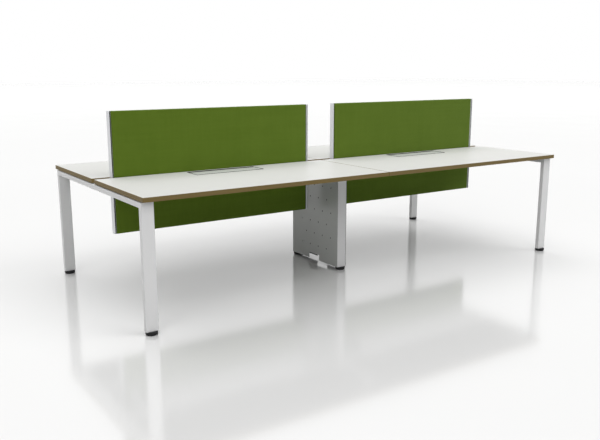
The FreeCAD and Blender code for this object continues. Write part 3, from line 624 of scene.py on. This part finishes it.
def edge_band(node):
    """Band carried round the board: a rounded-rectangle path, and at each point of it a closed section whose
    outer arrises are quarter circles. The first UV coordinate runs with the length, the second with the
    height."""
    low, high = corners_of(node)
    middle, size = (low + high) / 2, high - low
    outer = rounded_rectangle(size[X], size[Y], BAND_CORNER, CORNER_STEPS)
    inner = rounded_rectangle(size[X] - 2 * BAND_THICKNESS, size[Y] - 2 * BAND_THICKNESS,
                              BAND_CORNER - BAND_THICKNESS, CORNER_STEPS)
    quarter = np.linspace(0, math.pi / 2, ARRIS_STEPS + 1)
    arris_inset = BAND_ARRIS * (1 - np.cos(quarter))
    arris_lift = size[Z] / 2 - BAND_ARRIS + BAND_ARRIS * np.sin(quarter)
    inset = np.concatenate((arris_inset, (BAND_THICKNESS, BAND_THICKNESS), arris_inset[::-1]))
    lift = np.concatenate((arris_lift, (size[Z] / 2, -size[Z] / 2), -arris_lift[::-1]))
    share = (inset / BAND_THICKNESS)[None, :, None]
    flat = outer[:, None] * (1 - share) + inner[:, None] * share + middle[:Z]
    level = np.broadcast_to((middle[Z] + lift)[None, :, None], flat.shape[:2] + (1,))
    rows = np.concatenate((flat, level), 2)
    steps = np.linalg.norm(np.diff(np.concatenate((outer, outer[:1])), axis=0), axis=1)
    length = np.concatenate(((0,), np.cumsum(steps)))
    height = np.concatenate((lift, lift[:1])) + BAND_THICKNESS
    count, section = rows.shape[:2]
    i, j = np.meshgrid(np.arange(count), np.arange(section), indexing="ij")
    corner_uv = np.stack([np.stack((length[i + next_i], height[j + next_j]), -1)
                          for next_i, next_j in ((0, 0), (1, 0), (1, 1), (0, 1))], 2)
    quads = grid_quads(count, section, wrap_rows=True, wrap_columns=True)
    piece = make_piece(f"{node}_strip", rows, quads, "desk", brown_band, corner_uv)
    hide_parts(node)
    even_shading(piece)


for quarter in QUARTERS:
    edge_band(f"edge_band_{quarter}")

# Cable flaps: an extruded aluminium lid on a steel rod, in a moulded black frame let into the worktop.
# The lid is coated white. The gap behind the lid lets cables through when it is shut, and the frame's black
# paints the shade down in it.
FLAP_COAT = (0.80, 0.81, 0.80, 1)
FLAP_COAT_DULL = (0.74, 0.75, 0.745, 1)
FLAP_PEEL = 1100.0
NYLON = (0.005, 0.005, 0.006, 1)
NYLON_GREY = (0.014, 0.014, 0.015, 1)


def nylon_finish():
    """Black nylon: fine spark-eroded grain from the mould, and greyer where it is rubbed. The same black
    serves as painted shade in the screens' grooves and the flaps' slots.
    """
    material, tree, shader, place = new_material("black_nylon_and_shade")
    grain = noise(tree, place, scale=1800.0, detail=2.0)
    rubbed = noise(tree, place, scale=60.0, detail=4.0)
    tree.links.new(mixed(tree, rubbed, NYLON, NYLON_GREY), shader.inputs["Base Color"])
    tree.links.new(spread(tree, grain, low=0.38, high=0.58), shader.inputs["Roughness"])
    add_bump(tree, shader, grain, strength=0.20, distance=0.0003)
    shader.inputs["Specular IOR Level"].default_value = 0.22
    return material


black_nylon_and_shade = nylon_finish()
# Black nylon frame: the moulding's own colour, and painted shade in the slot behind the lid.
give_finish(black_nylon_and_shade, "flap_frame")
give_finish(powder_coat("flap_coat", FLAP_COAT, FLAP_COAT_DULL, FLAP_PEEL), "cable_flap")

# Screens: a board padded thinly, wrapped in green woven cloth and pushed into a channel at each end.
# Only a tongue of the board enters the silver anodised channel. In the groove between cloth and lip lies a
# black strip, painted shade that darkens the groove.
PROFILE_WIDTH = 0.015
PROFILE_WALL = 0.002
PROFILE_CORNER = 0.0015
LIP_WIDTH = 0.003
RECESS_DEPTH = 0.011
STRIP_WIDTH = 0.0045
STRIP_THICKNESS = 0.0015
STRIP_ROUND = 0.0005
TONGUE_PLAY = 0.0002
WRAP_RADIUS = 0.003
SCREEN_EDGE = 0.006
EDGE_STEPS = 8
CLOTH_STEPS = 40
YARN_PITCH = 0.0032
SLUB_SHARE = 0.5
BAR_SHARE = 0.35
CLOUD_SHARE = 0.15
SLUB_HEIGHT = 0.6
HOLLOW_SHADE_SHARE = 0.55
CLOTH_GREEN = (0.104, 0.176, 0.008, 1)
CLOTH_LIGHT = (0.146, 0.231, 0.019, 1)
# Deep green: painted shade in the weave's hollows.
CLOTH_HOLLOW_SHADE = (0.058, 0.102, 0.004, 1)
SILVER = (0.80, 0.81, 0.82, 1)
SILVER_DULL = (0.70, 0.71, 0.73, 1)


def mean_of(tree, first, second):
    """Half the sum of two values."""
    return maths(tree, "MULTIPLY", maths(tree, "ADD", first, second), 0.5)


def cloth_finish():
    """Hopsack: two sets of threads as sine waves along and up the screen, whose product says which lies on
    top, with slubs that thicken some threads, faint bars across and up, clouds from the dyeing, and painted
    shade on lower threads."""
    material, tree, shader, place = new_material("green_cloth")
    parts = add_node(tree, "ShaderNodeSeparateXYZ", _0=place).outputs
    around = maths(tree, "ADD", parts["Z"], maths(tree, "ABSOLUTE", parts["Y"]))
    pace = 2 * math.pi / YARN_PITCH
    warp = maths(tree, "SINE", maths(tree, "MULTIPLY", parts["X"], pace))
    weft = maths(tree, "SINE", maths(tree, "MULTIPLY", around, pace))
    over = maths(tree, "MULTIPLY_ADD", maths(tree, "MULTIPLY", warp, weft), 0.5, 0.5)
    slubs = mean_of(tree, noise(tree, place, scale=(18.0, 60.0, 420.0), detail=3.0),
                    noise(tree, place, scale=(420.0, 60.0, 14.0), detail=3.0))
    bars = mean_of(tree, noise(tree, place, scale=(2.5, 20.0, 70.0), detail=2.0),
                   noise(tree, place, scale=(70.0, 20.0, 2.5), detail=2.0))
    clouds = noise(tree, place, scale=7.0, detail=4.0)
    slow = maths(tree, "MULTIPLY_ADD", bars, BAR_SHARE, maths(tree, "MULTIPLY", clouds, CLOUD_SHARE))
    tone = maths(tree, "MULTIPLY_ADD", slubs, SLUB_SHARE, slow)
    pale = add_node(tree, "ShaderNodeMapRange", Value=tone, From_Min=0.36, From_Max=0.64).outputs[0]
    dyed = mixed(tree, pale, CLOTH_GREEN, CLOTH_LIGHT)
    # Painted shade: the green darkens where a thread lies under the other.
    hollow_shade = maths(tree, "MULTIPLY", maths(tree, "SUBTRACT", 1.0, over), HOLLOW_SHADE_SHARE)
    tree.links.new(mixed(tree, hollow_shade, dyed, CLOTH_HOLLOW_SHADE), shader.inputs["Base Color"])
    tree.links.new(spread(tree, over, low=0.95, high=0.82), shader.inputs["Roughness"])
    height = maths(tree, "MULTIPLY_ADD", slubs, SLUB_HEIGHT, over)
    add_bump(tree, shader, height, strength=0.45, distance=0.0006)
    shader.inputs["Sheen Weight"].default_value = 0.18
    shader.inputs["Sheen Roughness"].default_value = 0.45
    shader.inputs["Specular IOR Level"].default_value = 0.2
    return material


def anodised_finish():
    """Silver anodising: a bright even metal with faint drawing lines along the upright extrusion."""
    material, tree, shader, place = new_material("silver_anodised")
    lines = noise(tree, place, scale=(1500.0, 1500.0, 4.0), detail=3.0)
    tree.links.new(mixed(tree, lines, SILVER_DULL, SILVER), shader.inputs["Base Color"])
    tree.links.new(spread(tree, lines, low=0.38, high=0.54), shader.inputs["Roughness"])
    add_bump(tree, shader, lines, strength=0.06, distance=0.0002)
    shader.inputs["Metallic"].default_value = 0.55
    return material


green_cloth = cloth_finish()
silver_anodised = anodised_finish()


def in_channel(node, panel, from_end, from_middle):
    """Places along and across the desk, from distances inward of a channel's end face and off its middle."""
    low, high = corners_of(node)
    at_low_end = low[X] < corners_of(panel)[0][X]
    x = low[X] + from_end if at_low_end else high[X] - from_end
    return x, (low[Y] + high[Y]) / 2 + from_middle


def closed_end(ring):
    """Flat end of a ring: quads between its first half and its second half turned round."""
    half = len(ring) // 2
    return np.stack((ring[:half], ring[half:][::-1])), grid_quads(2, half)


def end_channel(node, panel):
    """Extruded channel: half a section, from the groove's floor over the lip to the outer corner, and its
    mirror image. Outer and inner points pair up, and four rows join them round the bottom and the top."""
    low, high = corners_of(node)
    half = (high[Y] - low[Y]) / 2
    quarter = np.linspace(0, math.pi / 2, CORNER_STEPS + 1)
    groove = half - RECESS_DEPTH
    bore = groove - PROFILE_WALL
    outer = [(PROFILE_WIDTH, groove), (LIP_WIDTH, groove), (LIP_WIDTH, half)]
    outer += list(zip(PROFILE_CORNER * (1 - np.sin(quarter)), half - PROFILE_CORNER * (1 - np.cos(quarter))))
    inner = [(PROFILE_WIDTH, bore)] + [(PROFILE_WALL, bore)] * (len(outer) - 1)
    rear = np.stack((np.array(outer), np.array(inner)))
    section = np.concatenate((rear, (rear * (1, -1))[:, ::-1]), 1)
    x, y = in_channel(node, panel, section[..., 0], section[..., 1])
    count = x.shape[1]
    levels = ((0, low[Z]), (0, high[Z]), (1, high[Z]), (1, low[Z]))
    rows = np.stack([np.stack((x[skin], y[skin], np.full(count, level)), -1) for skin, level in levels])
    tips = np.arange(4) * count + np.array(((0,), (count - 1,)))
    quads = np.concatenate((grid_quads(4, count, wrap_rows=True), tips))
    piece = make_piece(f"{node}_channel", rows, quads, "desk", silver_anodised)
    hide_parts(node)
    even_shading(piece)


def groove_shade_strips(node, panel):
    """Black strip of painted shade in the groove at the front and at the back: a rounded rectangle carried up
    the channel, on the groove's floor against the cloth, with closed ends."""
    low, high = corners_of(node)
    from_end = PROFILE_WIDTH - PROFILE_WALL - STRIP_WIDTH / 2
    from_middle = (high[Y] - low[Y]) / 2 - RECESS_DEPTH + STRIP_THICKNESS / 2
    section = rounded_rectangle(STRIP_WIDTH, STRIP_THICKNESS, STRIP_ROUND, CORNER_STEPS)
    patches = []
    for facing in (-1, 1):
        outline = section + in_channel(node, panel, from_end, facing * from_middle)
        rings = [np.column_stack((outline, np.full(len(outline), level))) for level in (low[Z], high[Z])]
        patches.append((np.stack(rings), grid_quads(2, len(outline), wrap_columns=True)))
        patches += [closed_end(ring) for ring in rings]
    points, quads = joined(patches)
    # The black strips paint the shade in each groove beside the cloth.
    even_shading(make_piece(f"{node}_groove_shade", points, quads, "desk", black_nylon_and_shade))


def cloth_screen(node, channel):
    """Wrapped board: a rounded rectangle of thickness and height, carried along the screen. At each end the
    section narrows round a quarter circle, drops straight to the tongue, and keeps the tongue's size inside
    the channel."""
    low, high = corners_of(node)
    middle, size = (low + high) / 2, high - low
    channel_low, channel_high = corners_of(channel)
    tongue = (channel_high[Y] - channel_low[Y]) / 2 - RECESS_DEPTH - PROFILE_WALL - TONGUE_PLAY
    mouth = low[X] + PROFILE_WIDTH - PROFILE_WALL
    turn = np.linspace(0, math.pi / 2, EDGE_STEPS + 1)
    run = np.linspace(mouth + WRAP_RADIUS, middle[X], CLOTH_STEPS)[1:]
    left_x = np.concatenate(((low[X], mouth), mouth + WRAP_RADIUS * (1 - np.cos(turn)), run))
    wrapped = np.concatenate((WRAP_RADIUS * (1 - np.sin(turn)), np.zeros(len(run))))
    thinner = np.concatenate((np.full(2, size[Y] / 2 - tongue), wrapped))
    lower = np.concatenate((np.full(2, WRAP_RADIUS), wrapped))
    x = np.concatenate((left_x, 2 * middle[X] - left_x[-2::-1]))
    drawn_in = np.stack((thinner, lower), -1)
    drawn_in = np.concatenate((drawn_in, drawn_in[-2::-1]))
    section = rounded_rectangle(size[Y], size[Z], SCREEN_EDGE, EDGE_STEPS)
    drawn = section[None] - np.sign(section)[None] * drawn_in[:, None] + middle[Y:]
    rows = np.concatenate((np.broadcast_to(x[:, None, None], drawn.shape[:2] + (1,)), drawn), 2)
    skin = (rows, grid_quads(*rows.shape[:2], wrap_columns=True))
    points, quads = joined([skin, closed_end(rows[0]), closed_end(rows[-1])])
    piece = make_piece(f"{node}_cloth", points, quads, "desk", green_cloth)
    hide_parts(node)
    even_shading(piece)


for side in ("left", "right"):
    for end in ("inner", "outer"):
        end_channel(f"screen_profile_{side}_{end}", f"screen_panel_{side}")
        groove_shade_strips(f"screen_profile_{side}_{end}", f"screen_panel_{side}")
    cloth_screen(f"screen_panel_{side}", f"screen_profile_{side}_outer")

# Feet: a moulded black nylon disc on a zinc-plated threaded stud, screwed into the end of each leg.
# The disc's rim has shallow finger grooves, and a plastic insert closes the tube round the stud.
FOOT_TOE = 0.005
FOOT_ROUND = 0.0016
FOOT_SIDES = 192
ROUND_STEPS = 4
POLE_RADIUS = 0.0004
TOE_EASE = 0.0006
RIM_RISE = 0.0004
GROOVES = 24
GROOVE_DIP = 0.0005
GROOVE_RISE = 0.002
GROOVE_END = 0.001
SCREW_PITCH = 0.0015
SCREW_DEPTH = 0.0009
SCREW_SIDES = 24
LEVELS_IN_PITCH = 6
TIP_SHARE = 0.05

give_finish(black_nylon_and_shade, "leg_inserts")


def foot_disc(node, body):
    """Turned disc: a profile from the sole's centre up the slanted toe and the rim to the top's centre, spun
    round the stud. On the rim, cosine grooves draw the radius in."""
    low, high = corners_of(node)
    middle = (low + high) / 2
    radius, top = (high[Y] - low[Y]) / 2, high[Z] - low[Z]
    sole, shoulder = radius - FOOT_TOE, top - FOOT_ROUND
    groove_low, groove_high = FOOT_TOE + GROOVE_RISE, shoulder - GROOVE_END
    toe_turn = np.linspace(-math.pi / 2, -math.pi / 4, ROUND_STEPS)
    rim_turn = np.linspace(0, math.pi / 2, ROUND_STEPS + 1)
    profile_r = np.concatenate(((POLE_RADIUS, sole / 2),
                                sole - FOOT_ROUND + FOOT_ROUND * np.cos(toe_turn),
                                (radius - TOE_EASE, radius, radius, radius),
                                radius - FOOT_ROUND + FOOT_ROUND * np.cos(rim_turn),
                                (radius / 2, POLE_RADIUS)))
    profile_z = np.concatenate(((0, 0),
                                FOOT_ROUND + FOOT_ROUND * np.sin(toe_turn),
                                (FOOT_TOE - TOE_EASE, FOOT_TOE + RIM_RISE, groove_low, groove_high),
                                shoulder + FOOT_ROUND * np.sin(rim_turn),
                                (top, top)))
    turn = np.linspace(0, 2 * math.pi, FOOT_SIDES, endpoint=False)
    on_rim = (profile_z >= groove_low) & (profile_z <= groove_high)
    grooved = GROOVE_DIP * (0.5 - 0.5 * np.cos(GROOVES * turn))
    reach = profile_r[:, None] - on_rim[:, None] * grooved
    rows = np.stack((middle[X] + reach * np.cos(turn), middle[Y] + reach * np.sin(turn),
                     low[Z] + np.repeat(profile_z[:, None], FOOT_SIDES, 1)), -1)
    quads = grid_quads(len(profile_r), FOOT_SIDES, wrap_columns=True)
    piece = make_piece(f"{node}_disc", rows, quads, body, black_nylon_and_shade)
    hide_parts(node)


def threaded_stud(node, body):
    """Thread: round the stud the radius follows a triangle wave of the height less the turn's share of a
    pitch, so its crest climbs one pitch in each turn. The wave dies out at the top, and each end is drawn
    in to a small ring, which leaves a pinhole."""
    low, high = corners_of(node)
    middle, radius = (low + high) / 2, (high[X] - low[X]) / 2
    levels = np.append(np.arange(low[Z], high[Z], SCREW_PITCH / LEVELS_IN_PITCH), high[Z])
    turn = np.linspace(0, 2 * math.pi, SCREW_SIDES, endpoint=False)
    phase = (levels[:, None] / SCREW_PITCH - turn[None] / (2 * math.pi)) % 1
    wave = np.abs(2 * phase - 1)
    fade = np.clip((high[Z] - levels) / SCREW_PITCH, 0, 1)[:, None]
    reach = radius - SCREW_DEPTH * (1 - wave * fade)
    rows = np.stack((middle[X] + reach * np.cos(turn), middle[Y] + reach * np.sin(turn),
                     np.repeat(levels[:, None], SCREW_SIDES, 1)), -1)
    axis = np.array((middle[X], middle[Y], 0)) * (1 - TIP_SHARE)
    foot, tip = (ring * (TIP_SHARE, TIP_SHARE, 1) + axis for ring in (rows[:1], rows[-1:]))
    rows = np.concatenate((foot, rows, tip))
    quads = grid_quads(len(rows), SCREW_SIDES, wrap_columns=True)
    piece = make_piece(f"{node}_thread", rows, quads, body, zinc_plate)
    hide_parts(node)


for foot in QUARTERS + ("centre_front", "centre_rear"):
    foot_disc(f"foot_pad_{foot}", f"foot_{foot}")
    threaded_stud(f"foot_stud_{foot}", f"foot_{foot}")

# Studio: a wide glossy pale floor in a white room, a broad soft light overhead and weaker ones round it.
# The camera stands at the front left corner, a little above the screens, and looks slightly down.
FLOOR_HALF = 60.0
FLOOR_WHITE = (0.945, 0.945, 0.94, 1)
FLOOR_GREY = (0.93, 0.93, 0.925, 1)
FLOOR_BOUNCE = (0.29, 0.29, 0.29, 1)
FLOOR_IOR = 2.75
ROOM_WHITE = (1, 1, 1, 1)
CAMERA_PLACE = (-2.9269, -4.0607, 1.3585)
CAMERA_PITCH = math.radians(78.05)
CAMERA_YAW = math.radians(-34.28)
CAMERA_LENS = 43.26
SENSOR_WIDTH = 36.0
LIGHTS = (
    ("soft_top", (0, 0, 1), 1.80, 80),
    ("soft_rear", (0, 0.574, 0.819), 0.52, 40),
    ("soft_front_left", (-0.586, -0.586, 0.559), 0.82, 40),
    ("soft_front_right", (0.586, -0.586, 0.559), 0.78, 40),
)


def floor_finish():
    """Polished pale floor: nearly even white, with soft clouds in its gloss, and darker to bounced light."""
    material, tree, shader, place = new_material("pale_floor")
    clouds = noise(tree, place, scale=0.7, detail=3.0)
    bounced = add_node(tree, "ShaderNodeLightPath").outputs["Is Diffuse Ray"]
    seen = mixed(tree, clouds, FLOOR_WHITE, FLOOR_GREY)
    tree.links.new(mixed(tree, bounced, seen, FLOOR_BOUNCE), shader.inputs["Base Color"])
    tree.links.new(spread(tree, clouds, low=0.10, high=0.14), shader.inputs["Roughness"])
    shader.inputs["IOR"].default_value = FLOOR_IOR
    return material


floor_corners = np.array(((-1, -1, 0), (1, -1, 0), (1, 1, 0), (-1, 1, 0))) * FLOOR_HALF
floor_mesh = bpy.data.meshes.new("floor")
floor_mesh.from_pydata(floor_corners, [], [(0, 1, 2, 3)])
floor_mesh.materials.append(floor_finish())
floor = bpy.data.objects.new("floor", floor_mesh)
bpy.context.scene.collection.objects.link(floor)
floor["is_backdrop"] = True

# The room shows white to the camera and in reflections. The soft light on matt faces comes from the lamps.
room = bpy.data.worlds.new("white_room")
bpy.context.scene.world = room
room.use_nodes = True
backdrop = room.node_tree.nodes["Background"]
backdrop.inputs["Color"].default_value = ROOM_WHITE
bounced = add_node(room.node_tree, "ShaderNodeLightPath").outputs["Is Diffuse Ray"]
room.node_tree.links.new(maths(room.node_tree, "SUBTRACT", 1.0, bounced), backdrop.inputs["Strength"])

for name, source, strength, width in LIGHTS:
    lamp = bpy.data.lights.new(name, "SUN")
    lamp.energy = strength
    lamp.angle = math.radians(width)
    light = bpy.data.objects.new(name, lamp)
    light.rotation_euler = Vector(source).to_track_quat("Z", "Y").to_euler()
    bpy.context.scene.collection.objects.link(light)

camera_data = bpy.data.cameras.new("camera")
camera_data.sensor_width = SENSOR_WIDTH
camera_data.lens = CAMERA_LENS
camera = bpy.data.objects.new("camera", camera_data)
camera.location = CAMERA_PLACE
camera.rotation_euler = (CAMERA_PITCH, 0, CAMERA_YAW)
bpy.context.scene.collection.objects.link(camera)
bpy.context.scene.camera = camera
bpy.context.scene.view_settings.view_transform = "Standard"

low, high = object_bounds()
